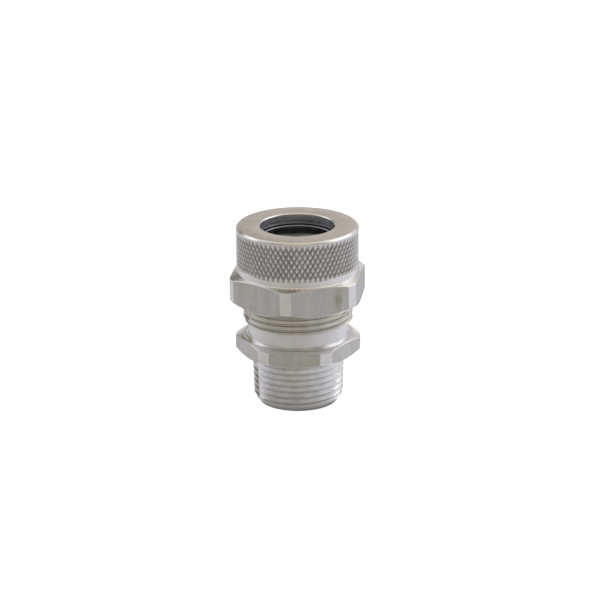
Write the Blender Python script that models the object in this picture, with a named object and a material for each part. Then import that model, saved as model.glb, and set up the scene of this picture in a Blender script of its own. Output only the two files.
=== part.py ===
"""Metal cable gland (liquid-tight cord grip) for a 3/4 inch conduit entry.

Four pieces on one vertical axis: a threaded body, a knurled hex nut that screws
down over it, a slip ring under the nut's lip, and a rubber bushing in the body's
cup.  The origin is the centre of the body's threaded end, and +Z runs up the bore.
"""

import math

import bmesh
import bpy

MM = 0.001
ROUND_STEPS = 60
THREAD_STEPS = 32
LOOSE_RING_STEPS = 48
FLANK_SLOPE = math.tan(math.radians(30.0))
CLEARANCE = 0.3 * MM

# Both threads have 14 turns to the inch.
PITCH = 25.4 / 14.0 * MM

# Pipe thread on the body's lower end, with the standard taper of 1 in 16.
PIPE_END_CREST_RADIUS = 13.015 * MM
PIPE_TAPER = 1.0 / 32.0
PIPE_FLAT = 0.06 * PITCH
PIPE_END_RADIUS = 11.4 * MM
PIPE_END_CHAMFER_HEIGHT = 2.3 * MM

# Hexagonal flange of the body.
FLANGE_BOTTOM = 15.15 * MM
FLANGE_TOP = 20.32 * MM
FLANGE_ACROSS_FLATS = 33.3 * MM
FLANGE_CORNER_RADIUS = 18.25 * MM
FLANGE_CORNER_ANGLE = -33.7
FLANGE_TOP_FACE_RADIUS = 16.1 * MM
FLANGE_TOP_CHAMFER = 0.7 * MM
FLANGE_BOTTOM_FACE_RADIUS = 16.4 * MM
FLANGE_BOTTOM_CHAMFER = 1.0 * MM

# Neck between the flange and the upper thread.
NECK_RADIUS = 14.65 * MM
NECK_FILLET = 0.7 * MM
NECK_TOP = 24.68 * MM

# Straight thread that the nut runs on.
BODY_TOP = 44.2 * MM
NUT_THREAD_CREST_RADIUS = 16.0 * MM
NUT_THREAD_CREST_FLAT = PITCH / 8.0
NUT_THREAD_ROOT_FLAT = PITCH / 4.0
THREAD_END_CHAMFER = 0.7 * MM

# Bore of the body: throat, conical seat and cup.
THROAT_RADIUS = 9.9 * MM
THROAT_CHAMFER = 0.4 * MM
SEAT_BOTTOM = 26.3 * MM
SEAT_TOP = 30.5 * MM
CUP_RADIUS = 12.9 * MM
CUP_CHAMFER = 0.6 * MM

# Nut: hexagon below, knurled barrel above, lip at the top.  Heights are above its base.
NUT_BASE = 30.6 * MM
NUT_ACROSS_FLATS = 36.9 * MM
NUT_CORNER_RADIUS = 20.45 * MM
NUT_CORNER_ANGLE = -9.95
NUT_BASE_FACE_RADIUS = 17.9 * MM
NUT_BASE_CHAMFER = 1.74 * MM
NUT_HEX_CORNER_TOP = 8.5 * MM
NUT_BARREL_BOTTOM = 9.37 * MM
NUT_BARREL_RADIUS = 17.76 * MM
NUT_HEIGHT = 22.65 * MM
NUT_TOP_CHAMFER = 0.57 * MM
MOUTH_RADIUS = 10.8 * MM
MOUTH_CHAMFER = 0.3 * MM
LIP_THICKNESS = 3.05 * MM
RING_POCKET_RADIUS = 12.9 * MM
RING_POCKET_DEPTH = 1.5 * MM
RELIEF_RADIUS = 16.35 * MM
NUT_THREAD_TOP = 12.0 * MM
NUT_RADIAL_PLAY = 0.15 * MM
NUT_FLANK_PLAY = 0.12 * MM
NUT_MINOR_RADIUS = 15.27 * MM

# Slip ring, which lies under the lip.
RING_RADIUS = 12.6 * MM
RING_BORE_RADIUS = 10.0 * MM
RING_THICKNESS = 1.5 * MM
RING_EDGE = 0.2 * MM

# Sealing bushing.
BUSHING_RADIUS = CUP_RADIUS - CLEARANCE
BUSHING_BORE_RADIUS = 8.0 * MM
BUSHING_NOSE_RADIUS = 10.2 * MM
BUSHING_TOP = 43.95 * MM
BUSHING_EDGE = 0.6 * MM


def clear_scene():
    for obj in list(bpy.data.objects):
        bpy.data.objects.remove(obj, do_unlink=True)


def make_material(name, colour, roughness, metallic):
    material = bpy.data.materials.new(name)
    material.use_nodes = True
    shader = material.node_tree.nodes["Principled BSDF"]
    shader.inputs["Base Color"].default_value = (*colour, 1.0)
    shader.inputs["Roughness"].default_value = roughness
    shader.inputs["Metallic"].default_value = metallic
    return material


def add_object(name, bm, material=None, height=0.0):
    """Put a finished bmesh in the scene, with its origin on the axis at the given height."""
    bmesh.ops.recalc_face_normals(bm, faces=bm.faces)
    mesh = bpy.data.meshes.new(name)
    bm.to_mesh(mesh)
    bm.free()
    mesh.shade_smooth()
    mesh.set_sharp_from_angle(angle=math.radians(25.0))
    if material:
        mesh.materials.append(material)
    obj = bpy.data.objects.new(name, mesh)
    obj.location.z = height
    bpy.context.collection.objects.link(obj)
    return obj


def add_cutter(name, bm, height=0.0):
    cutter = add_object(name, bm, height=height)
    cutter.hide_render = True
    cutter.display_type = "WIRE"
    return cutter


def combine(target, tool, operation):
    boolean = target.modifiers.new(f"{operation.lower()}_{tool.name}", "BOOLEAN")
    boolean.solver = "EXACT"
    boolean.operation = operation
    boolean.object = tool


def turned(profile, steps=ROUND_STEPS):
    """Spin a closed outline of (radius, height) points once around the axis."""
    bm = bmesh.new()
    verts = [bm.verts.new((radius, 0.0, height)) for radius, height in profile]
    edges = [bm.edges.new(pair) for pair in zip(verts, verts[1:] + verts[:1])]
    on_axis = [e for e in edges if all(v.co.x < 1e-9 for v in e.verts)]
    for edge in on_axis:
        bm.edges.remove(edge)
    bmesh.ops.spin(
        bm,
        geom=bm.verts[:] + bm.edges[:],
        cent=(0.0, 0.0, 0.0),
        axis=(0.0, 0.0, 1.0),
        angle=math.tau,
        steps=steps,
    )
    bmesh.ops.remove_doubles(bm, verts=bm.verts, dist=1e-7)
    return bm


def hexagon(across_flats, corner_angle, bottom, top):
    """Hexagonal prism; the corner angle is measured from -Y, towards +X."""
    bm = bmesh.new()
    corner_radius = across_flats / math.sqrt(3.0)
    ring = []
    for side in range(6):
        angle = math.radians(corner_angle - 90.0 + 60.0 * side)
        ring.append(bm.verts.new((corner_radius * math.cos(angle), corner_radius * math.sin(angle), bottom)))
    base = bm.faces.new(ring)
    extruded = bmesh.ops.extrude_face_region(bm, geom=[base])
    lifted = [item for item in extruded["geom"] if isinstance(item, bmesh.types.BMVert)]
    bmesh.ops.translate(bm, verts=lifted, vec=(0.0, 0.0, top - bottom))
    return bm


def threaded_rod(crest_radius, root_radius, crest_half, start, end, taper=0.0):
    """Solid right-hand thread whose first tooth is centred on the start height at angle 0.

    A tooth outline one pitch high is swept around and up, the turns are joined along
    their root, and both open ends are closed to a point on the axis.
    """
    root_half = crest_half + (crest_radius - root_radius) * FLANK_SLOPE
    outline = [
        (root_radius, -root_half),
        (crest_radius, -crest_half),
        (crest_radius, crest_half),
        (root_radius, root_half),
        (root_radius, PITCH - root_half),
    ]
    turns = math.ceil((end - start) / PITCH)
    bm = bmesh.new()
    verts = [bm.verts.new((radius, 0.0, start + height)) for radius, height in outline]
    for pair in zip(verts, verts[1:]):
        bm.edges.new(pair)
    bmesh.ops.spin(
        bm,
        geom=bm.verts[:] + bm.edges[:],
        cent=(0.0, 0.0, 0.0),
        axis=(0.0, 0.0, 1.0),
        dvec=(0.0, 0.0, PITCH / THREAD_STEPS),
        angle=math.tau * turns,
        steps=THREAD_STEPS * turns,
    )
    bmesh.ops.remove_doubles(bm, verts=bm.verts, dist=1e-6)
    for vert in bm.verts:
        radius = math.hypot(vert.co.x, vert.co.y)
        vert.co.xy *= 1.0 + taper * vert.co.z / radius
    middle = (start + end) / 2.0
    rims = [edge for edge in bm.edges if edge.is_boundary]
    for above in (False, True):
        rim = [edge for edge in rims if (edge.verts[0].co.z > middle) == above]
        tip_height = sum(edge.verts[0].co.z for edge in rim) / len(rim)
        tip = bm.verts.new((0.0, 0.0, tip_height))
        for edge in rim:
            bm.faces.new((edge.verts[0], edge.verts[1], tip))
    bmesh.ops.triangulate(bm, faces=bm.faces[:])
    return bm


def nut_thread_root_radius():
    flank_height = PITCH - NUT_THREAD_CREST_FLAT - NUT_THREAD_ROOT_FLAT
    return NUT_THREAD_CREST_RADIUS - flank_height / 2.0 / FLANK_SLOPE


def first_tooth_below(height, phase=0.0):
    """Height of a tooth centre at angle 0, at least a turn under the given height."""
    return phase + PITCH * (math.floor((height - phase) / PITCH) - 1)


def build_body(material):
    blank = hexagon(FLANGE_ACROSS_FLATS, FLANGE_CORNER_ANGLE, 4.0 * MM, 30.0 * MM)
    body = add_object("gland_body", blank, material)
    core = THROAT_RADIUS + 0.6 * MM
    inside = NECK_RADIUS - 0.4 * MM
    outline = [
        (0.0, 6.0 * MM),
        (core, 6.0 * MM),
        (core, FLANGE_BOTTOM),
        (FLANGE_BOTTOM_FACE_RADIUS, FLANGE_BOTTOM),
        (FLANGE_CORNER_RADIUS, FLANGE_BOTTOM + FLANGE_BOTTOM_CHAMFER),
        (FLANGE_CORNER_RADIUS, FLANGE_TOP - FLANGE_TOP_CHAMFER),
        (FLANGE_TOP_FACE_RADIUS, FLANGE_TOP),
        (NECK_RADIUS + NECK_FILLET, FLANGE_TOP),
        (NECK_RADIUS + 0.25 * NECK_FILLET, FLANGE_TOP + 0.25 * NECK_FILLET),
        (NECK_RADIUS, FLANGE_TOP + NECK_FILLET),
        (NECK_RADIUS, NECK_TOP),
        (inside, NECK_TOP + 0.1 * MM),
        (inside, 28.0 * MM),
        (0.0, 28.0 * MM),
    ]
    combine(body, add_cutter("body_outline", turned(outline)), "INTERSECT")

    root = nut_thread_root_radius()
    crest = NUT_THREAD_CREST_RADIUS
    foot = NECK_TOP - 0.05 * MM
    rod = threaded_rod(crest, root, NUT_THREAD_CREST_FLAT / 2.0, first_tooth_below(foot), BODY_TOP + PITCH)
    upper_thread = add_cutter("upper_thread", rod)
    limits = [
        (0.0, foot),
        (root + 0.03 * MM, foot),
        (crest + 0.05 * MM, foot + THREAD_END_CHAMFER),
        (crest + 0.05 * MM, BODY_TOP - THREAD_END_CHAMFER),
        (crest + 0.05 * MM - THREAD_END_CHAMFER, BODY_TOP),
        (0.0, BODY_TOP),
    ]
    combine(upper_thread, add_cutter("upper_thread_limits", turned(limits)), "INTERSECT")
    combine(body, upper_thread, "UNION")

    depth = (PITCH - 2.0 * PIPE_FLAT) / 2.0 / FLANK_SLOPE
    crest = PIPE_END_CREST_RADIUS
    pipe_top = FLANGE_BOTTOM + 0.6 * MM
    first = first_tooth_below(0.0)
    rod = threaded_rod(crest, crest - depth, PIPE_FLAT / 2.0, first, pipe_top + PITCH, PIPE_TAPER)
    pipe_thread = add_cutter("pipe_thread", rod)
    over_crest = crest + 0.05 * MM
    limits = [
        (0.0, 0.0),
        (PIPE_END_RADIUS, 0.0),
        (over_crest + PIPE_TAPER * PIPE_END_CHAMFER_HEIGHT, PIPE_END_CHAMFER_HEIGHT),
        (over_crest + PIPE_TAPER * pipe_top, pipe_top),
        (0.0, pipe_top),
    ]
    combine(pipe_thread, add_cutter("pipe_thread_limits", turned(limits)), "INTERSECT")
    combine(body, pipe_thread, "UNION")

    past = 1.0 * MM
    bore = [
        (0.0, -past),
        (THROAT_RADIUS + THROAT_CHAMFER + past, -past),
        (THROAT_RADIUS, THROAT_CHAMFER),
        (THROAT_RADIUS, SEAT_BOTTOM),
        (CUP_RADIUS, SEAT_TOP),
        (CUP_RADIUS, BODY_TOP - CUP_CHAMFER),
        (CUP_RADIUS + CUP_CHAMFER + past, BODY_TOP + past),
        (0.0, BODY_TOP + past),
    ]
    combine(body, add_cutter("body_bore", turned(bore)), "DIFFERENCE")
    return body


def build_nut(material):
    past = 1.0 * MM
    blank = hexagon(NUT_ACROSS_FLATS, NUT_CORNER_ANGLE, -past, NUT_HEIGHT + past)
    nut = add_object("gland_nut", blank, material, NUT_BASE)
    outline = [
        (0.0, 0.0),
        (NUT_BASE_FACE_RADIUS, 0.0),
        (NUT_CORNER_RADIUS, NUT_BASE_CHAMFER),
        (NUT_CORNER_RADIUS, NUT_HEX_CORNER_TOP),
        (NUT_BARREL_RADIUS, NUT_BARREL_BOTTOM),
        (NUT_BARREL_RADIUS, NUT_HEIGHT - NUT_TOP_CHAMFER),
        (NUT_BARREL_RADIUS - NUT_TOP_CHAMFER, NUT_HEIGHT),
        (0.0, NUT_HEIGHT),
    ]
    combine(nut, add_cutter("nut_outline", turned(outline), NUT_BASE), "INTERSECT")

    lip = NUT_HEIGHT - LIP_THICKNESS
    pocket = lip - RING_POCKET_DEPTH
    inside = [
        (0.0, NUT_THREAD_TOP),
        (RELIEF_RADIUS - 0.9 * MM, NUT_THREAD_TOP - 0.5 * MM),
        (RELIEF_RADIUS, NUT_THREAD_TOP),
        (RELIEF_RADIUS, pocket),
        (RING_POCKET_RADIUS, pocket),
        (RING_POCKET_RADIUS, lip),
        (MOUTH_RADIUS, lip),
        (MOUTH_RADIUS, NUT_HEIGHT - MOUTH_CHAMFER),
        (MOUTH_RADIUS + MOUTH_CHAMFER + past, NUT_HEIGHT + past),
        (0.0, NUT_HEIGHT + past),
    ]
    combine(nut, add_cutter("nut_inside", turned(inside), NUT_BASE), "DIFFERENCE")

    crest = NUT_THREAD_CREST_RADIUS + NUT_RADIAL_PLAY
    crest_half = NUT_THREAD_CREST_FLAT / 2.0 - NUT_RADIAL_PLAY * FLANK_SLOPE + NUT_FLANK_PLAY
    first = first_tooth_below(-past, first_tooth_below(0.0) - NUT_BASE)
    rod = threaded_rod(crest, NUT_MINOR_RADIUS, crest_half, first, NUT_THREAD_TOP + PITCH)
    tap = add_cutter("nut_tap", rod, NUT_BASE)
    combine(nut, tap, "DIFFERENCE")

    entry = RELIEF_RADIUS
    mouth = [
        (0.0, -past),
        (entry + past, -past),
        (NUT_MINOR_RADIUS - 0.5 * MM, entry - NUT_MINOR_RADIUS + 0.5 * MM),
        (0.0, entry - NUT_MINOR_RADIUS + 0.5 * MM),
    ]
    combine(nut, add_cutter("nut_entry_chamfer", turned(mouth), NUT_BASE), "DIFFERENCE")
    return nut


def build_slip_ring(material):
    edge = RING_EDGE
    outline = [
        (RING_BORE_RADIUS + edge, 0.0),
        (RING_RADIUS - edge, 0.0),
        (RING_RADIUS, edge),
        (RING_RADIUS, RING_THICKNESS - edge),
        (RING_RADIUS - edge, RING_THICKNESS),
        (RING_BORE_RADIUS + edge, RING_THICKNESS),
        (RING_BORE_RADIUS, RING_THICKNESS - edge),
        (RING_BORE_RADIUS, edge),
    ]
    lip_underside = NUT_BASE + NUT_HEIGHT - LIP_THICKNESS
    height = lip_underside - CLEARANCE - RING_THICKNESS
    return add_object("slip_ring", turned(outline, LOOSE_RING_STEPS), material, height)


def build_bushing(material):
    """Rubber sleeve whose conical nose stays parallel to the body's seat."""
    spread = (CUP_RADIUS - THROAT_RADIUS) / (SEAT_TOP - SEAT_BOTTOM)
    nose_radius_at_seat = THROAT_RADIUS - CLEARANCE * math.hypot(1.0, spread)
    nose_bottom = SEAT_BOTTOM + (BUSHING_NOSE_RADIUS - nose_radius_at_seat) / spread
    nose_top = SEAT_BOTTOM + (BUSHING_RADIUS - nose_radius_at_seat) / spread
    edge = BUSHING_EDGE
    outline = [
        (BUSHING_BORE_RADIUS, 0.0),
        (BUSHING_NOSE_RADIUS, 0.0),
        (BUSHING_RADIUS, nose_top - nose_bottom),
        (BUSHING_RADIUS, BUSHING_TOP - nose_bottom - edge),
        (BUSHING_RADIUS - edge, BUSHING_TOP - nose_bottom),
        (BUSHING_BORE_RADIUS + edge, BUSHING_TOP - nose_bottom),
        (BUSHING_BORE_RADIUS, BUSHING_TOP - nose_bottom - edge),
    ]
    return add_object("sealing_bushing", turned(outline, LOOSE_RING_STEPS), material, nose_bottom)


def main():
    clear_scene()
    aluminium = make_material("machined_aluminium", (0.62, 0.60, 0.57), 0.34, 1.0)
    nut_aluminium = make_material("knurled_aluminium", (0.66, 0.64, 0.61), 0.32, 1.0)
    steel = make_material("plated_steel", (0.30, 0.30, 0.32), 0.35, 1.0)
    rubber = make_material("black_neoprene", (0.012, 0.012, 0.013), 0.75, 0.0)
    build_body(aluminium)
    build_nut(nut_aluminium)
    build_slip_ring(steel)
    build_bushing(rubber)


main()
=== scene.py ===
"""Looks of the metal cable gland: fine meshes, metal and rubber materials, studio light and camera.

Every visual piece stands for one CAD node and keeps its size and place.  Both metal pieces are meshed
as turned outlines cut by a hexagon, with real helical threads and a real diamond knurl.
"""

import math

import bmesh
import bpy
from mathutils import Matrix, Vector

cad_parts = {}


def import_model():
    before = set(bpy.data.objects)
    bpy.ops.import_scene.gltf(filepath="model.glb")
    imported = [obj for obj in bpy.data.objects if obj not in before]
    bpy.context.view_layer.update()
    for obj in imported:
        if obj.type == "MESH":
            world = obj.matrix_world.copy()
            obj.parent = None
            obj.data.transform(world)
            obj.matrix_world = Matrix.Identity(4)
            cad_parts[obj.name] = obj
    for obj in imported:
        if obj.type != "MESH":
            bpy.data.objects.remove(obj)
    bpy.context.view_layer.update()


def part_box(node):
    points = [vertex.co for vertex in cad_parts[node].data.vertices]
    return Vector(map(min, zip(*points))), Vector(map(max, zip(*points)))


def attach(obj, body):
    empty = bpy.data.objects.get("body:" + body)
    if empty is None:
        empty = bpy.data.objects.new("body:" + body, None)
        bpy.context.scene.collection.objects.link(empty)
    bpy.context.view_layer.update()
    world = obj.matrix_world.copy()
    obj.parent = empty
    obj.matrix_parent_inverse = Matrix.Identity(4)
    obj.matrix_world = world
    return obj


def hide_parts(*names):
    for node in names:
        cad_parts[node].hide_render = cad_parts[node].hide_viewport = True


MM = 0.001
PITCH = 25.4 / 14.0 * MM
FLANK_SLOPE = math.tan(math.radians(30.0))

# Fineness of the round surfaces.
LIMIT_STEPS = 240
THREAD_STEPS = 96
FLANGE_COLUMNS = 360
LOOSE_COLUMNS = 192
EDGE = 0.14 * MM
SHOULDER_EDGE = 0.35 * MM
CORNER_STEPS = 3
OWN_CORNER_STEPS = 6

# Pipe thread: radius over the crests at the end, standard taper, flats and end chamfer.
PIPE_END_CREST_RADIUS = 13.015 * MM
PIPE_TAPER = 1.0 / 32.0
PIPE_FLAT = 0.06 * PITCH
PIPE_END_RADIUS = 11.4 * MM
PIPE_END_CHAMFER_HEIGHT = 2.3 * MM

# Flange, neck and bore of the body; heights are above the end face.
FLANGE_BOTTOM = 15.15 * MM
FLANGE_TOP = 20.32 * MM
FLANGE_APOTHEM = 16.65 * MM
FLANGE_CORNER_RADIUS = 18.23 * MM
FLANGE_CORNER_ANGLE = -33.7
FLANGE_TOP_FACE_RADIUS = 16.1 * MM
FLANGE_BOTTOM_FACE_RADIUS = 16.4 * MM
FLANGE_TOP_CHAMFER = 0.7 * MM
FLANGE_BOTTOM_CHAMFER = 1.0 * MM
NECK_RADIUS = 14.65 * MM
NECK_FILLET = 0.8 * MM
NECK_TOP = 24.68 * MM
THROAT_RADIUS = 9.9 * MM
THROAT_CHAMFER = 0.4 * MM
SEAT_BOTTOM = 26.3 * MM
SEAT_TOP = 30.5 * MM
CUP_RADIUS = 12.9 * MM
CUP_CHAMFER = 0.6 * MM
HIDDEN_CORE_BOTTOM = 6.0 * MM
HIDDEN_CORE_TOP = 28.0 * MM
THREAD_OVERLAP = 0.05 * MM

# Straight thread between body and nut.
NUT_THREAD_CREST_RADIUS = 15.99 * MM
NUT_THREAD_CREST_FLAT = PITCH / 8.0
NUT_THREAD_ROOT_FLAT = PITCH / 4.0
THREAD_END_CHAMFER = 0.7 * MM

# Nut; heights are above its base.
NUT_APOTHEM = 18.45 * MM
NUT_CORNER_RADIUS = 20.42 * MM
NUT_CORNER_ANGLE = -9.95
NUT_BASE_FACE_RADIUS = 17.9 * MM
NUT_BASE_CHAMFER = 1.74 * MM
NUT_HEX_CORNER_TOP = 8.5 * MM
NUT_BARREL_BOTTOM = 9.37 * MM
NUT_BARREL_RADIUS = 17.75 * MM
NUT_TOP_CHAMFER = 0.57 * MM
MOUTH_RADIUS = 10.8 * MM
MOUTH_CHAMFER = 0.3 * MM
LIP_THICKNESS = 3.05 * MM
RING_POCKET_RADIUS = 12.9 * MM
RING_POCKET_DEPTH = 1.5 * MM
RELIEF_RADIUS = 16.35 * MM
NUT_THREAD_TOP = 12.0 * MM
NUT_MINOR_RADIUS = 15.27 * MM
NUT_RADIAL_PLAY = 0.15 * MM
NUT_FLANK_PLAY = 0.12 * MM

# Loose pieces inside the nut.
RING_BORE_RADIUS = 10.0 * MM
RING_EDGE = 0.3 * MM
BUSHING_BORE_RADIUS = 8.0 * MM
BUSHING_NOSE_RADIUS = 10.2 * MM
BUSHING_NOSE_HEIGHT = 3.36 * MM
BUSHING_EDGE = 0.8 * MM

# Edges that turn by more than this stay sharp, on the metal pieces and on the loose pieces.
METAL_SHARP_ANGLE = 24.0
LOOSE_SHARP_ANGLE = 40.0

# Diamond knurl: whole diamonds around, half a diamond's height, fine steps per half diamond,
# fine rows, depth, lowest row, and where the pattern starts in fine steps around and up.
KNURL_COUNT = 72
KNURL_HALF_HEIGHT = 1.31 * MM
KNURL_FINENESS = 3
KNURL_ROWS = 25
KNURL_DEPTH = 0.38 * MM
KNURL_BOTTOM = 10.85 * MM
KNURL_START = (1, 1)

# Radii between which each thread goes from its dark groove floor, painted shade with some grime, to its
# full colour.
UPPER_THREAD_SHADING = (15.0 * MM, 15.4 * MM)
PIPE_THREAD_SHADING = (11.6 * MM, 12.1 * MM)

# Faint olive staining of the hexagonal bar's flats.
OLIVE_TINT = (0.99, 0.985, 0.9, 1.0)

# Smudge on one flat of the nut: middle, reach and how it darkens the metal.
SMUDGE_CENTRE = (11.5 * MM, -15.4 * MM, 35.6 * MM)
SMUDGE_REACH = (1.9 * MM, 1.9 * MM, 4.6 * MM)
SMUDGE_COLOUR = (0.72, 0.70, 0.60)

# The studio's strengths and tints, below, weren't chosen by hand.  A separate least-squares program fitted
# them to the photograph, and they were then rounded.  The fit also scaled the metals' colours.

# Studio floor: it glows in soft patches, each with an azimuth, a strength and a tint; the patches are
# painted light for the soft boxes' light on the floor.  Close to the object it glows dimly, a painted
# shadow.
NEUTRAL = (1.0, 1.0, 1.0)
BLUISH = (0.90, 0.94, 1.15)
COOL = (0.93, 0.98, 1.08)
WARM = (1.18, 1.02, 0.78)
FLOOR_COLOUR = (0.6, 0.6, 0.6)
FLOOR_GLOW_SEEN = (0.9, 0.9, 0.9)
FLOOR_GLOW_NEAR = (0.08, 0.08, 0.08)
FLOOR_NEAR = 14.0 * MM
FLOOR_FAR = 22.0 * MM
FLOOR_PATCH_REACH = 60.0
FLOOR_PATCHES = (
    (0, 0.06, WARM),
    (60, 0.23, BLUISH),
    (120, 0.42, BLUISH),
    (-120, 0.29, BLUISH),
    (-60, 0.10, NEUTRAL),
)

# Studio light: a dim room with rings of soft boxes (or, below zero, dark flags).  A ring has an elevation,
# the inner and outer half-angle of its boxes, their tint, and each box's azimuth and strength.
ROOM_COLOUR = (0.396, 0.376, 0.358)
LIGHT_RINGS = (
    (4.0, 8.0, 24.0, NEUTRAL, {90: 0.08, 125: 0.2, 155: 0.14, 180: 0.25, -155: 0.14, -125: -0.08}),
    (17.0, 3.0, 16.0, COOL, {120: 0.13, -120: 0.27}),
    (27.0, 8.0, 22.0, COOL, {80: 0.44, 108: 0.38, 135: 0.35, 158: 0.11}),
    (27.0, 8.0, 22.0, BLUISH, {-108: 0.43}),
    (27.0, 8.0, 22.0, NEUTRAL, {0: -0.12, 45: -0.11, -45: -0.12, -80: -0.12, -135: -0.09, -162: -0.2}),
    (41.0, 6.0, 18.0, COOL, {100: 0.29, -141: 0.06}),
    (52.0, 14.0, 34.0, NEUTRAL, {120: 0.63, 180: 0.2, -120: 0.49, 0: -0.06, -60: -0.06}),
    (75.0, 10.0, 30.0, WARM, {0: 0.28, 180: 0.27}),
)

# Camera: a long lens, in front of the object and a little above it, fitted to the photograph's outline.
CAMERA_ELEVATION = 19.2166
CAMERA_ROLL = -0.4443
CAMERA_DISTANCE = 794.4 * MM
CAMERA_TARGET = (0.627 * MM, 0.0, 30.2275 * MM)
CAMERA_SENSOR = 36.0
CAMERA_LENS = 163.764


# ---------------------------------------------------------------- mesh helpers


def new_object(name, bm):
    """Turn a finished bmesh into an object with outward normals."""
    bmesh.ops.recalc_face_normals(bm, faces=bm.faces)
    mesh = bpy.data.meshes.new(name)
    bm.to_mesh(mesh)
    bm.free()
    obj = bpy.data.objects.new(name, mesh)
    bpy.context.scene.collection.objects.link(obj)
    return obj


def combine(target, tool, operation):
    """Boolean one solid with another, keep the result as plain mesh and drop the tool."""
    boolean = target.modifiers.new(operation.lower(), "BOOLEAN")
    boolean.solver = "EXACT"
    boolean.operation = operation
    boolean.object = tool
    graph = bpy.context.evaluated_depsgraph_get()
    result = bpy.data.meshes.new_from_object(target.evaluated_get(graph))
    target.modifiers.remove(boolean)
    old = target.data
    target.data = result
    bpy.data.meshes.remove(old)
    bpy.data.objects.remove(tool, do_unlink=True)


def round_corners(outline, edge, steps=CORNER_STEPS):
    """Round each corner of a closed outline of (radius, height) or (radius, height, own edge)."""
    rounded = []
    for before, corner, after in zip(outline[-1:] + outline[:-1], outline, outline[1:] + outline[:1]):
        r, z = corner[:2]
        own_edge = corner[2] if len(corner) > 2 else edge
        own_steps = OWN_CORNER_STEPS if len(corner) > 2 else steps
        back = (before[0] - r, before[1] - z)
        on = (after[0] - r, after[1] - z)
        back_length = math.hypot(*back)
        on_length = math.hypot(*on)
        cosine = (back[0] * on[0] + back[1] * on[1]) / (back_length * on_length)
        turn = math.pi - math.acos(max(-1.0, min(1.0, cosine)))
        reach = min(own_edge * math.tan(turn / 2.0), 0.4 * back_length, 0.4 * on_length)
        start = (r + back[0] / back_length * reach, z + back[1] / back_length * reach)
        end = (r + on[0] / on_length * reach, z + on[1] / on_length * reach)
        for step in range(own_steps):
            t = step / (own_steps - 1)
            bend = ((1 - t) ** 2, 2 * t * (1 - t), t**2)
            rounded.append(tuple(sum(w * p[i] for w, p in zip(bend, (start, (r, z), end))) for i in (0, 1)))
    return rounded


def turned(outline, steps):
    """Solid of revolution of an outline that may start and end on the axis."""
    bm = bmesh.new()
    verts = [bm.verts.new((r, 0.0, z)) for r, z in outline]
    for start, end in zip(verts, verts[1:] + verts[:1]):
        if start.co.x > 1e-9 or end.co.x > 1e-9:
            bm.edges.new((start, end))
    bmesh.ops.spin(
        bm,
        geom=bm.verts[:] + bm.edges[:],
        axis=(0.0, 0.0, 1.0),
        angle=math.tau,
        steps=steps,
    )
    bmesh.ops.remove_doubles(bm, verts=bm.verts, dist=1e-7)
    return bm


def columns_solid(outline_at, columns, split=None):
    """Closed skin through one outline of (radius, angle, height) per column.

    Where split(row) is true, each quad is cut along the diagonal that keeps grooves sharp.
    """
    bm = bmesh.new()
    grid = []
    for column in range(columns):
        outline = outline_at(column)
        grid.append([bm.verts.new((r * math.cos(a), r * math.sin(a), z)) for r, a, z in outline])
    rows = len(grid[0])
    for column in range(columns):
        here, there = grid[column], grid[(column + 1) % columns]
        for row in range(rows):
            up = (row + 1) % rows
            quad = (here[row], there[row], there[up], here[up])
            if not (split and split(row)):
                bm.faces.new(quad)
                continue
            flat = [math.hypot(v.co.x, v.co.y) for v in quad]
            first = 0 if flat[0] + flat[2] <= flat[1] + flat[3] else 1
            bm.faces.new((quad[first], quad[first + 1], quad[first + 2]))
            bm.faces.new((quad[first], quad[first + 2], quad[(first + 3) % 4]))
    return bm


def hexagon_radius(angle, apothem, corner_radius, corner_angle):
    """Radius of a hexagon whose corners are turned down to a cylinder."""
    from_corner = math.degrees(angle) + 90.0 - corner_angle
    off_flat = math.radians((from_corner % 60.0) - 30.0)
    return min(apothem / math.cos(off_flat), corner_radius)


def hexagon_columns(columns, apothem, corner_radius, corner_angle):
    """Angles of the columns, one of them on each edge between a flat and a turned corner."""
    per_corner = columns // 6
    half = 30.0 - math.degrees(math.acos(apothem / corner_radius))
    inner = round(half * columns / 360.0)
    angles = []
    for column in range(columns):
        corner, step = divmod(column, per_corner)
        if step <= inner:
            local = step * half / inner
        elif step >= per_corner - inner:
            local = 60.0 - (per_corner - step) * half / inner
        else:
            local = half + (step - inner) * (60.0 - 2.0 * half) / (per_corner - 2 * inner)
        angles.append(math.radians(corner_angle - 90.0 + 60.0 * corner + local))
    return angles


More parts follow.
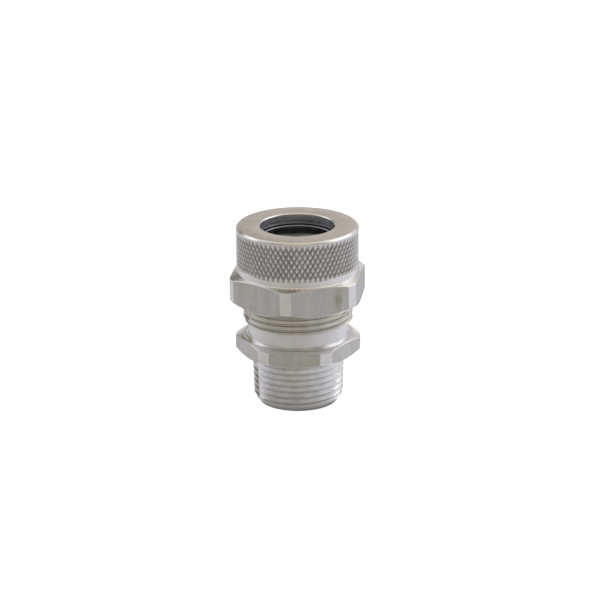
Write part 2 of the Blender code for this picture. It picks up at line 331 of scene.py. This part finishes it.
def threaded_rod(crest_radius, root_radius, crest_half, start, end, taper=0.0):
    """Right-hand threaded solid; a tooth is centred on the start height at angle 0."""
    root_half = crest_half + (crest_radius - root_radius) * FLANK_SLOPE
    turns = math.ceil((end - start) / PITCH)
    nose = 0.3 * crest_half
    outline = [
        (root_radius, -root_half),
        (crest_radius - nose, -crest_half - nose * FLANK_SLOPE),
        (crest_radius, -crest_half + nose),
        (crest_radius, crest_half - nose),
        (crest_radius - nose, crest_half + nose * FLANK_SLOPE),
        (root_radius, root_half),
        (root_radius, PITCH - root_half),
    ]
    bm = bmesh.new()
    verts = [bm.verts.new((r, 0.0, start + z)) for r, z in outline]
    for pair in zip(verts, verts[1:]):
        bm.edges.new(pair)
    bmesh.ops.spin(
        bm,
        geom=bm.verts[:] + bm.edges[:],
        axis=(0.0, 0.0, 1.0),
        dvec=(0.0, 0.0, PITCH / THREAD_STEPS),
        angle=math.tau * turns,
        steps=THREAD_STEPS * turns,
    )
    bmesh.ops.remove_doubles(bm, verts=bm.verts, dist=1e-6)
    for vert in bm.verts:
        vert.co.xy *= 1.0 + taper * vert.co.z / math.hypot(vert.co.x, vert.co.y)
    middle = (start + end) / 2.0
    rims = [edge for edge in bm.edges if edge.is_boundary]
    for above in (False, True):
        rim = [edge for edge in rims if (edge.verts[0].co.z > middle) == above]
        tip = bm.verts.new((0.0, 0.0, sum(edge.verts[0].co.z for edge in rim) / len(rim)))
        for edge in rim:
            bm.faces.new((edge.verts[0], edge.verts[1], tip))
    bmesh.ops.triangulate(bm, faces=bm.faces[:])
    return bm


def first_tooth_below(height):
    return PITCH * (math.floor(height / PITCH) - 1)


def smooth_by_angle(obj, degrees):
    obj.data.shade_smooth()
    obj.data.set_sharp_from_angle(angle=math.radians(degrees))


# ---------------------------------------------------------------- the four pieces


def flange_outline(angle):
    """Outline of the flange and neck; it stays inside the threads, which are joined on later."""
    core = THROAT_RADIUS + 0.6 * MM
    hexagon = hexagon_radius(angle, FLANGE_APOTHEM, FLANGE_CORNER_RADIUS, FLANGE_CORNER_ANGLE)
    below = (hexagon - FLANGE_BOTTOM_FACE_RADIUS) / (FLANGE_CORNER_RADIUS - FLANGE_BOTTOM_FACE_RADIUS)
    above = (hexagon - FLANGE_TOP_FACE_RADIUS) / (FLANGE_CORNER_RADIUS - FLANGE_TOP_FACE_RADIUS)
    inside = NECK_RADIUS - 0.4 * MM
    middle = THROAT_RADIUS - 2.0 * MM
    corners = [
        (core, FLANGE_BOTTOM),
        (FLANGE_BOTTOM_FACE_RADIUS, FLANGE_BOTTOM),
        (hexagon, FLANGE_BOTTOM + FLANGE_BOTTOM_CHAMFER * below),
        (hexagon, FLANGE_TOP - FLANGE_TOP_CHAMFER * above),
        (FLANGE_TOP_FACE_RADIUS, FLANGE_TOP),
        (NECK_RADIUS, FLANGE_TOP, NECK_FILLET),
        (NECK_RADIUS, NECK_TOP),
        (inside, NECK_TOP + 0.1 * MM),
        (inside, HIDDEN_CORE_TOP),
        (middle, HIDDEN_CORE_TOP),
        (middle, HIDDEN_CORE_BOTTOM),
        (core, HIDDEN_CORE_BOTTOM),
    ]
    return [(r, angle, z) for r, z in round_corners(corners, EDGE)]


def join_upper_thread(body, top):
    flank_height = PITCH - NUT_THREAD_CREST_FLAT - NUT_THREAD_ROOT_FLAT
    crest = NUT_THREAD_CREST_RADIUS
    root = crest - flank_height / 2.0 / FLANK_SLOPE
    foot = NECK_TOP - 0.05 * MM
    rod = threaded_rod(crest, root, NUT_THREAD_CREST_FLAT / 2.0, first_tooth_below(foot), top + PITCH)
    rod = new_object("upper_thread", rod)
    over = crest + THREAD_OVERLAP
    limits = [
        (0.0, foot),
        (root + 0.03 * MM, foot),
        (over, foot + THREAD_END_CHAMFER),
        (over, top - THREAD_END_CHAMFER),
        (over - THREAD_END_CHAMFER, top),
        (0.0, top),
    ]
    combine(rod, new_object("limits", turned(limits, LIMIT_STEPS)), "INTERSECT")
    combine(body, rod, "UNION")


def join_pipe_thread(body):
    depth = (PITCH - 2.0 * PIPE_FLAT) / 2.0 / FLANK_SLOPE
    crest = PIPE_END_CREST_RADIUS
    pipe_top = FLANGE_BOTTOM + 0.6 * MM
    first = first_tooth_below(0.0)
    rod = threaded_rod(crest, crest - depth, PIPE_FLAT / 2.0, first, pipe_top + PITCH, PIPE_TAPER)
    rod = new_object("pipe_thread", rod)
    over = crest + THREAD_OVERLAP
    limits = [
        (0.0, 0.0),
        (PIPE_END_RADIUS, 0.0),
        (over + PIPE_TAPER * PIPE_END_CHAMFER_HEIGHT, PIPE_END_CHAMFER_HEIGHT),
        (over + PIPE_TAPER * pipe_top, pipe_top),
        (0.0, pipe_top),
    ]
    combine(rod, new_object("limits", turned(limits, LIMIT_STEPS)), "INTERSECT")
    combine(body, rod, "UNION")


def bore_body(body, top):
    """Cut the throat, the conical seat and the cup that holds the bushing."""
    past = 1.0 * MM
    bore = [
        (0.0, -past),
        (THROAT_RADIUS + THROAT_CHAMFER + past, -past),
        (THROAT_RADIUS, THROAT_CHAMFER),
        (THROAT_RADIUS, SEAT_BOTTOM),
        (CUP_RADIUS, SEAT_TOP),
        (CUP_RADIUS, top - CUP_CHAMFER),
        (CUP_RADIUS + CUP_CHAMFER + past, top + past),
        (0.0, top + past),
    ]
    combine(body, new_object("bore", turned(bore, LIMIT_STEPS)), "DIFFERENCE")


def make_body():
    hexagon = (FLANGE_APOTHEM, FLANGE_CORNER_RADIUS, FLANGE_CORNER_ANGLE)
    angles = hexagon_columns(FLANGE_COLUMNS, *hexagon)
    body = new_object("body", columns_solid(lambda column: flange_outline(angles[column]), FLANGE_COLUMNS))
    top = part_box("gland_body")[1].z
    join_upper_thread(body, top)
    join_pipe_thread(body)
    bore_body(body, top)
    smooth_by_angle(body, METAL_SHARP_ANGLE)
    return body


def knurl_groove(column, row):
    """Depth of the knurl at a point of its fine lattice: rounded diamonds between narrow grooves."""
    x = (column + KNURL_START[0]) / KNURL_FINENESS
    y = (row + KNURL_START[1]) / KNURL_FINENESS
    rising = abs((x + y + 1.0) % 2.0 - 1.0)
    falling = abs((x - y + 1.0) % 2.0 - 1.0)
    strength = min(1.0, row / 1.5, (KNURL_ROWS - row) / 1.5)
    return KNURL_DEPTH * strength * (1.0 - min(rising, falling)) ** 2


def nut_outline(angle, height):
    """Outline of the nut above its base, without the knurl."""
    hexagon = hexagon_radius(angle, NUT_APOTHEM, NUT_CORNER_RADIUS, NUT_CORNER_ANGLE)
    base_slope = NUT_BASE_CHAMFER / (NUT_CORNER_RADIUS - NUT_BASE_FACE_RADIUS)
    shoulder_drop = NUT_BARREL_BOTTOM - NUT_HEX_CORNER_TOP
    shoulder_slope = shoulder_drop / (NUT_CORNER_RADIUS - NUT_BARREL_RADIUS)
    lip = height - LIP_THICKNESS
    pocket = lip - RING_POCKET_DEPTH
    corners = [
        (NUT_MINOR_RADIUS, 0.0),
        (NUT_BASE_FACE_RADIUS, 0.0),
        (hexagon, (hexagon - NUT_BASE_FACE_RADIUS) * base_slope),
        (hexagon, NUT_BARREL_BOTTOM - (hexagon - NUT_BARREL_RADIUS) * shoulder_slope, SHOULDER_EDGE),
        (NUT_BARREL_RADIUS, NUT_BARREL_BOTTOM),
        (NUT_BARREL_RADIUS, height - NUT_TOP_CHAMFER),
        (NUT_BARREL_RADIUS - NUT_TOP_CHAMFER, height),
        (MOUTH_RADIUS + MOUTH_CHAMFER, height),
        (MOUTH_RADIUS, height - MOUTH_CHAMFER),
        (MOUTH_RADIUS, lip),
        (RING_POCKET_RADIUS, lip),
        (RING_POCKET_RADIUS, pocket),
        (RELIEF_RADIUS, pocket),
        (RELIEF_RADIUS, NUT_THREAD_TOP),
        (NUT_MINOR_RADIUS, NUT_THREAD_TOP - 0.8 * MM),
    ]
    return round_corners(corners, EDGE)


def make_nut():
    low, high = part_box("gland_nut")
    base = low.z
    height = high.z - low.z
    columns = 2 * KNURL_COUNT * KNURL_FINENESS
    row_height = KNURL_HALF_HEIGHT / KNURL_FINENESS
    angles = hexagon_columns(columns, NUT_APOTHEM, NUT_CORNER_RADIUS, NUT_CORNER_ANGLE)
    sample = nut_outline(angles[0], height)
    first = next(index for index, (r, z) in enumerate(sample) if z > KNURL_BOTTOM)

    def outline_at(column):
        even = angles[0] + math.tau * column / columns
        outline = nut_outline(angles[column], height)
        knurl = [
            (NUT_BARREL_RADIUS - knurl_groove(column, row), KNURL_BOTTOM + row * row_height)
            for row in range(KNURL_ROWS + 1)
        ]
        below = [(r, angles[column], base + z) for r, z in outline[:first]]
        above = [(r, even, base + z) for r, z in knurl + outline[first:]]
        return below + above

    nut = new_object("nut", columns_solid(outline_at, columns, lambda row: 0 <= row - first < KNURL_ROWS))
    tap_nut(nut, base)
    smooth_by_angle(nut, METAL_SHARP_ANGLE)
    return nut


def tap_nut(nut, base):
    """Cut the nut's thread with a little play round the body's, and its conical entry."""
    past = 1.0 * MM
    crest = NUT_THREAD_CREST_RADIUS + NUT_RADIAL_PLAY
    crest_half = NUT_THREAD_CREST_FLAT / 2.0 - NUT_RADIAL_PLAY * FLANK_SLOPE + NUT_FLANK_PLAY
    thread_top = base + NUT_THREAD_TOP
    root = NUT_MINOR_RADIUS - 0.01 * MM
    rod = threaded_rod(crest, root, crest_half, first_tooth_below(base), thread_top + PITCH)
    tap = new_object("tap", rod)
    over = RELIEF_RADIUS - 0.1 * MM
    limits = [
        (0.0, base - past),
        (over, base - past),
        (over, thread_top + 0.5 * MM),
        (0.0, thread_top + 0.5 * MM),
    ]
    combine(tap, new_object("limits", turned(limits, LIMIT_STEPS)), "INTERSECT")
    combine(nut, tap, "DIFFERENCE")
    entry_top = base + RELIEF_RADIUS - NUT_MINOR_RADIUS + 0.5 * MM
    entry = [
        (0.0, base - past),
        (RELIEF_RADIUS + past, base - past),
        (NUT_MINOR_RADIUS - 0.5 * MM, entry_top),
        (0.0, entry_top),
    ]
    combine(nut, new_object("entry", turned(entry, LIMIT_STEPS)), "DIFFERENCE")


def make_ring():
    low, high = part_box("slip_ring")
    bore = RING_BORE_RADIUS
    outline = [(bore, low.z), (high.x, low.z), (high.x, high.z), (bore, high.z)]
    rounded = round_corners(outline, RING_EDGE, 5)
    ring = new_object("ring", turned(rounded, LOOSE_COLUMNS))
    smooth_by_angle(ring, LOOSE_SHARP_ANGLE)
    return ring


def make_bushing():
    low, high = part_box("sealing_bushing")
    bore = BUSHING_BORE_RADIUS
    outline = [
        (bore, low.z),
        (BUSHING_NOSE_RADIUS, low.z),
        (high.x, low.z + BUSHING_NOSE_HEIGHT),
        (high.x, high.z),
        (bore, high.z),
    ]
    rounded = round_corners(outline, BUSHING_EDGE, 7)
    bushing = new_object("bushing", turned(rounded, LOOSE_COLUMNS))
    smooth_by_angle(bushing, LOOSE_SHARP_ANGLE)
    return bushing


# ---------------------------------------------------------------- materials


class Nodes:
    """Short calls for building one material's or world's node tree."""

    def __init__(self, tree):
        self.tree = tree

    def add(self, kind, **settings):
        node = self.tree.nodes.new(kind)
        for name, value in settings.items():
            setattr(node, name, value)
        return node

    def feed(self, socket, value):
        if hasattr(value, "is_output"):
            self.tree.links.new(value, socket)
        else:
            socket.default_value = value

    def math(self, operation, *values, clamp=False):
        node = self.add("ShaderNodeMath", operation=operation, use_clamp=clamp)
        for socket, value in zip(node.inputs, values):
            self.feed(socket, value)
        return node.outputs[0]

    def vector(self, operation, *values):
        node = self.add("ShaderNodeVectorMath", operation=operation)
        for socket, value in zip(node.inputs, values):
            self.feed(socket, value)
        return node.outputs["Value" if operation in ("LENGTH", "DOT_PRODUCT") else "Vector"]

    def ramp(self, value, low, high, to_low=0.0, to_high=1.0, smooth=False):
        node = self.add("ShaderNodeMapRange", interpolation_type="SMOOTHSTEP" if smooth else "LINEAR")
        for socket, given in zip(node.inputs, (value, low, high, to_low, to_high)):
            self.feed(socket, given)
        return node.outputs["Result"]

    def mix(self, factor, first, second, blend="MIX"):
        node = self.add("ShaderNodeMix", data_type="RGBA", blend_type=blend)
        for index, value in ((0, factor), (6, first), (7, second)):
            self.feed(node.inputs[index], value)
        return node.outputs[2]

    def noise(self, dimensions, place, scale, detail=2.0, rough=0.5):
        node = self.add("ShaderNodeTexNoise", noise_dimensions=dimensions)
        self.feed(node.inputs["W" if dimensions == "1D" else "Vector"], place)
        self.feed(node.inputs["Scale"], scale)
        self.feed(node.inputs["Detail"], detail)
        self.feed(node.inputs["Roughness"], rough)
        return node.outputs["Fac"]


def new_material(name, roughness, metallic):
    material = bpy.data.materials.new(name)
    material.use_nodes = True
    shader = material.node_tree.nodes["Principled BSDF"]
    shader.inputs["Roughness"].default_value = roughness
    shader.inputs["Metallic"].default_value = metallic
    return material, shader, Nodes(material.node_tree)


def tint(colour, gain):
    return (*(min(1.0, channel * gain) for channel in colour), 1.0)


def lathe_places(nodes):
    """Position, distance from the axis, and a coordinate that runs along any turned surface."""
    place = nodes.add("ShaderNodeTexCoord").outputs["Object"]
    radius = nodes.vector("LENGTH", nodes.vector("MULTIPLY", place, (1.0, 1.0, 0.0)))
    height = nodes.vector("DOT_PRODUCT", place, (0.0, 0.0, 1.0))
    along = nodes.math("ADD", nodes.math("MULTIPLY", radius, 1.31), nodes.math("MULTIPLY", height, 0.87))
    return place, radius, height, along


def finish_metal(nodes, shader, colour, variation, rough, roughening, bump, depth):
    """Vary the tone, the roughness (between two values) and the relief; gives back the tone."""
    shade = nodes.mix(variation, tint(colour, 0.86), tint(colour, 1.1))
    nodes.feed(shader.inputs["Base Color"], shade)
    nodes.feed(shader.inputs["Roughness"], nodes.ramp(roughening, 0.3, 0.7, *rough))
    relief = nodes.add("ShaderNodeBump")
    nodes.feed(relief.inputs["Strength"], 1.0)
    nodes.feed(relief.inputs["Distance"], depth)
    nodes.feed(relief.inputs["Height"], bump)
    nodes.feed(shader.inputs["Normal"], relief.outputs["Normal"])
    return shade


def turned_metal(name, colour, roughness, ring=0.11 * MM, depth=0.004 * MM):
    """Lathe-turned aluminium: fine rings, soft cloudy tone."""
    material, shader, nodes = new_material(name, roughness, 1.0)
    place, _, _, along = lathe_places(nodes)
    rings = nodes.noise("1D", along, 1.0 / ring, 3.0, 0.6)
    cloud = nodes.noise("3D", place, 240.0, 3.0)
    variation = nodes.math("ADD", nodes.math("MULTIPLY", rings, 0.45), nodes.math("MULTIPLY", cloud, 0.55))
    variation = nodes.ramp(variation, 0.3, 0.7)
    rough = (roughness - 0.05, roughness + 0.05)
    finish_metal(nodes, shader, colour, variation, rough, cloud, rings, depth)
    return material


def smudge(nodes, place, centre, reach, noise):
    """1 in the middle of a soft, uneven smudge and 0 past its reach."""
    offset = nodes.vector("DIVIDE", nodes.vector("SUBTRACT", place, centre), reach)
    uneven = nodes.math("ADD", nodes.vector("LENGTH", offset), nodes.ramp(noise, 0.3, 0.7, 0.3, -0.3))
    return nodes.ramp(uneven, 0.0, 1.0, 1.0, 0.0, smooth=True)


def drawn_metal(name, colour, roughness, smudge_at=None):
    """Flats of the drawn hexagonal bar: lengthwise streaks, faint stains and perhaps one smudge."""
    material, shader, nodes = new_material(name, roughness, 1.0)
    place = nodes.add("ShaderNodeTexCoord").outputs["Object"]
    stretched = nodes.vector("MULTIPLY", place, (1.0, 1.0, 0.035))
    streaks = nodes.noise("3D", stretched, 2600.0, 4.0, 0.6)
    broad = nodes.noise("3D", stretched, 420.0, 2.0)
    grain = nodes.noise("3D", place, 1900.0, 3.0, 0.6)
    stains = nodes.noise("3D", place, 330.0, 4.0, 0.62)
    stained = nodes.ramp(stains, 0.56, 0.74, 1.0, 0.72, smooth=True)
    variation = nodes.math("ADD", nodes.math("MULTIPLY", streaks, 0.4), nodes.math("MULTIPLY", broad, 0.25))
    variation = nodes.math("ADD", variation, nodes.math("MULTIPLY", grain, 0.35))
    variation = nodes.math("MULTIPLY", nodes.ramp(variation, 0.38, 0.62), stained)
    rough = (roughness - 0.05, roughness + 0.08)
    shade = finish_metal(nodes, shader, colour, variation, rough, stains, streaks, 0.0015 * MM)
    olive = nodes.ramp(nodes.noise("3D", place, 190.0, 2.0), 0.4, 0.65, 0.0, 0.8, smooth=True)
    shade = nodes.mix(olive, shade, nodes.mix(1.0, shade, OLIVE_TINT, "MULTIPLY"))
    if smudge_at:
        spot = smudge(nodes, place, smudge_at, SMUDGE_REACH, nodes.noise("3D", place, 900.0, 3.0))
        shade = nodes.mix(spot, shade, nodes.mix(1.0, shade, (*SMUDGE_COLOUR, 1.0), "MULTIPLY"))
    nodes.feed(shader.inputs["Base Color"], shade)
    return material


def grooved_metal(name, colour, roughness, floor_radius, crest_radius, taper=0.0, shade_at_floor=0.8):
    """Turned metal that darkens towards the bottom of a thread's or a knurl's grooves: painted shade, with
    some grime.
    """
    material, shader, nodes = new_material(name, roughness, 1.0)
    place, radius, height, _ = lathe_places(nodes)
    level = nodes.math("SUBTRACT", radius, nodes.math("MULTIPLY", height, taper))
    # Painted shade: the colour darkens towards the groove floor, partly standing for grime there.
    painted_groove_shade = nodes.ramp(level, floor_radius, crest_radius, shade_at_floor, 1.0)
    rings = nodes.noise("1D", level, 1.0 / (0.4 * MM), 3.0, 0.6)
    cloud = nodes.noise("3D", place, 420.0, 3.0)
    variation = nodes.math("ADD", nodes.math("MULTIPLY", rings, 0.4), nodes.math("MULTIPLY", cloud, 0.6))
    variation = nodes.ramp(variation, 0.3, 0.7)
    rough = (roughness - 0.05, roughness + 0.07)
    shade = finish_metal(nodes, shader, colour, variation, rough, cloud, rings, 0.01 * MM)
    darkened = nodes.vector("SCALE", shade)
    nodes.feed(darkened.node.inputs["Scale"], painted_groove_shade)
    nodes.feed(shader.inputs["Base Color"], darkened)
    return material


def moulded_rubber(name):
    material, shader, nodes = new_material(name, 0.62, 0.0)
    place = nodes.add("ShaderNodeTexCoord").outputs["Object"]
    cloud = nodes.noise("3D", place, 500.0, 4.0)
    grain = nodes.noise("3D", place, 4200.0, 2.0)
    shade = nodes.mix(cloud, (0.008, 0.008, 0.009, 1.0), (0.02, 0.02, 0.021, 1.0))
    nodes.feed(shader.inputs["Base Color"], shade)
    nodes.feed(shader.inputs["Roughness"], nodes.ramp(cloud, 0.3, 0.7, 0.5, 0.75))
    relief = nodes.add("ShaderNodeBump")
    nodes.feed(relief.inputs["Distance"], 0.004 * MM)
    nodes.feed(relief.inputs["Height"], grain)
    nodes.feed(shader.inputs["Normal"], relief.outputs["Normal"])
    return material


def paint(obj, materials, choose):
    """Give each face the material whose index choose(radius, height, normal) returns."""
    for material in materials:
        obj.data.materials.append(material)
    for face in obj.data.polygons:
        centre = face.center
        radius = math.hypot(centre.x, centre.y)
        face.material_index = choose(radius, centre, face.normal)


def on_hexagon_flat(centre, normal, apothem, corner_angle):
    """True on a flat of the hexagon, away from the turned strips and chamfers."""
    if abs(normal.z) > 0.02:
        return False
    facing = math.degrees(math.atan2(normal.y, normal.x)) + 90.0 - corner_angle
    off_flat = abs((facing % 60.0) - 30.0)
    depth = centre.x * normal.x + centre.y * normal.y
    return off_flat < 3.0 and abs(depth - apothem) < 0.03 * MM


# ---------------------------------------------------------------- stage, light and camera


def make_floor():
    """Pale, softly glowing floor; the viewer sees it near white, with only a faint shadow."""
    bm = bmesh.new()
    bmesh.ops.create_circle(bm, cap_ends=True, segments=96, radius=3.0)
    floor = new_object("floor", bm)
    material, shader, nodes = new_material("pale_floor", 0.8, 0.0)
    shader.inputs["Base Color"].default_value = (*FLOOR_COLOUR, 1.0)
    shader.inputs["Specular IOR Level"].default_value = 0.0
    place = nodes.add("ShaderNodeTexCoord").outputs["Object"]
    # Painted light: the glowing patches stand for the soft boxes' light falling on the floor.
    glow = (0.0, 0.0, 0.0)
    for azimuth, strength, colour in FLOOR_PATCHES:
        facing = nodes.vector("DOT_PRODUCT", nodes.vector("NORMALIZE", place), toward(azimuth, 0.0))
        away = nodes.math("ARCCOSINE", facing)
        patch = nodes.vector("SCALE", colour)
        spread = nodes.ramp(away, 0.0, math.radians(FLOOR_PATCH_REACH), strength, 0.0)
        nodes.feed(patch.node.inputs["Scale"], spread)
        glow = nodes.vector("ADD", glow, patch)
    # Painted shadow: close to the object the floor's glow drops to a dim level.
    far = nodes.ramp(nodes.vector("LENGTH", place), FLOOR_NEAR, FLOOR_FAR)
    glow = nodes.mix(far, (*FLOOR_GLOW_NEAR, 1.0), glow)
    seen = nodes.add("ShaderNodeLightPath").outputs["Is Camera Ray"]
    nodes.feed(shader.inputs["Emission Color"], nodes.mix(seen, glow, (*FLOOR_GLOW_SEEN, 1.0)))
    shader.inputs["Emission Strength"].default_value = 1.0
    floor.data.materials.append(material)


def toward(azimuth, elevation):
    """Unit direction; azimuth 0 is -Y, the viewer's side, and 90 is +X."""
    a, e = math.radians(azimuth), math.radians(elevation)
    return (math.sin(a) * math.cos(e), -math.cos(a) * math.cos(e), math.sin(e))


def make_world():
    """A white studio seen as plain white, with a dimmer room in front and large soft boxes."""
    world = bpy.data.worlds.new("studio")
    bpy.context.scene.world = world
    world.use_nodes = True
    nodes = Nodes(world.node_tree)
    direction = nodes.add("ShaderNodeTexCoord").outputs["Generated"]
    light = ROOM_COLOUR
    for elevation, inner, outer, colour, boxes in LIGHT_RINGS:
        for azimuth, strength in boxes.items():
            facing = nodes.vector("DOT_PRODUCT", direction, toward(azimuth, elevation))
            edge = (math.cos(math.radians(outer)), math.cos(math.radians(inner)))
            lobe = nodes.ramp(facing, *edge, 0.0, strength, smooth=True)
            scaled = nodes.vector("SCALE", colour)
            nodes.feed(scaled.node.inputs["Scale"], lobe)
            light = nodes.vector("ADD", light, scaled)
    light = nodes.vector("MAXIMUM", light, (0.0, 0.0, 0.0))
    seen = nodes.add("ShaderNodeLightPath").outputs["Is Camera Ray"]
    background = world.node_tree.nodes["Background"]
    nodes.feed(background.inputs["Color"], nodes.mix(seen, light, (1.0, 1.0, 1.0, 1.0)))


def make_camera():
    target = Matrix.Translation(CAMERA_TARGET)
    tilt = Matrix.Rotation(math.pi / 2.0 - math.radians(CAMERA_ELEVATION), 4, "X")
    back = Matrix.Translation((0.0, 0.0, CAMERA_DISTANCE))
    roll = Matrix.Rotation(math.radians(CAMERA_ROLL), 4, "Z")
    data = bpy.data.cameras.new("camera")
    data.sensor_width = CAMERA_SENSOR
    data.lens = CAMERA_LENS
    data.clip_start = 0.05
    data.clip_end = 50.0
    camera = bpy.data.objects.new("camera", data)
    camera.matrix_world = target @ tilt @ back @ roll
    bpy.context.scene.collection.objects.link(camera)
    bpy.context.scene.camera = camera


def paint_body(body):
    materials = (
        turned_metal("turned_aluminium", (0.85, 0.84, 0.83), 0.12, depth=0.003 * MM),
        drawn_metal("drawn_hexagon_bar", (0.62, 0.61, 0.595), 0.34),
        grooved_metal("straight_thread", (0.80, 0.78, 0.715), 0.1, *UPPER_THREAD_SHADING, 0.0, 0.55),
        grooved_metal("pipe_thread", (0.96, 0.96, 0.94), 0.09, *PIPE_THREAD_SHADING, PIPE_TAPER, 0.72),
        turned_metal("flange_edges", (0.90, 0.89, 0.885), 0.22),
        turned_metal("turned_neck", (0.82, 0.81, 0.805), 0.3),
    )

    def choose(radius, centre, normal):
        if on_hexagon_flat(centre, normal, FLANGE_APOTHEM, FLANGE_CORNER_ANGLE):
            return 1
        if radius < THROAT_RADIUS + THROAT_CHAMFER:
            return 0
        if radius < CUP_RADIUS + CUP_CHAMFER and centre.z > FLANGE_BOTTOM:
            return 0
        if centre.z > NECK_TOP - 0.04 * MM:
            return 2
        if PIPE_END_CHAMFER_HEIGHT * 0.1 < centre.z < FLANGE_BOTTOM - 0.02 * MM:
            return 3
        if radius > FLANGE_TOP_FACE_RADIUS + 0.5 * MM and FLANGE_BOTTOM < centre.z < FLANGE_TOP:
            return 4
        if centre.z > FLANGE_TOP + NECK_FILLET:
            return 5
        return 0

    paint(body, materials, choose)


def paint_nut(nut):
    low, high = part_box("gland_nut")
    groove_floor = NUT_BARREL_RADIUS - KNURL_DEPTH
    materials = (
        turned_metal("turned_nut", (0.82, 0.81, 0.79), 0.15),
        drawn_metal("nut_hexagon_bar", (0.61, 0.60, 0.585), 0.34, SMUDGE_CENTRE),
        grooved_metal("knurl", (0.855, 0.845, 0.825), 0.22, groove_floor, NUT_BARREL_RADIUS, 0.0, 0.5),
        turned_metal("faced_top", (0.755, 0.705, 0.64), 0.3, 0.16 * MM, 0.014 * MM),
        # The mouth wall's darker, bluish colour is painted shade inside the mouth.
        turned_metal("bored_mouth_painted_shade", (0.68, 0.68, 0.71), 0.38, 0.2 * MM, 0.09 * MM),
        turned_metal("nut_shoulder", (0.84, 0.82, 0.79), 0.2),
    )
    knurl_low = low.z + KNURL_BOTTOM
    knurl_high = knurl_low + KNURL_ROWS * KNURL_HALF_HEIGHT / KNURL_FINENESS

    def choose(radius, centre, normal):
        if on_hexagon_flat(centre, normal, NUT_APOTHEM, NUT_CORNER_ANGLE):
            return 1
        if radius > NUT_BARREL_RADIUS - 2.0 * KNURL_DEPTH and knurl_low < centre.z < knurl_high:
            return 2
        if centre.z > high.z - 0.01 * MM:
            return 3
        if radius < MOUTH_RADIUS + 0.02 * MM:
            return 4
        if radius > NUT_BARREL_RADIUS and normal.z > 0.3:
            return 5
        return 0

    paint(nut, materials, choose)


def main():
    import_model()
    body, nut, ring, bushing = make_body(), make_nut(), make_ring(), make_bushing()
    paint_body(body)
    paint_nut(nut)
    ring.data.materials.append(turned_metal("ring_steel", (0.43, 0.43, 0.46), 0.3))
    bushing.data.materials.append(moulded_rubber("black_rubber"))
    for piece, moves_with, node in (
        (body, "gland_body", "gland_body"),
        (nut, "gland_nut", "gland_nut"),
        (ring, "slip_ring", "slip_ring"),
        (bushing, "gland_body", "sealing_bushing"),
    ):
        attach(piece, moves_with)
        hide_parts(node)
    make_floor()
    make_world()
    make_camera()
    bpy.context.scene.view_settings.view_transform = "Standard"


main()
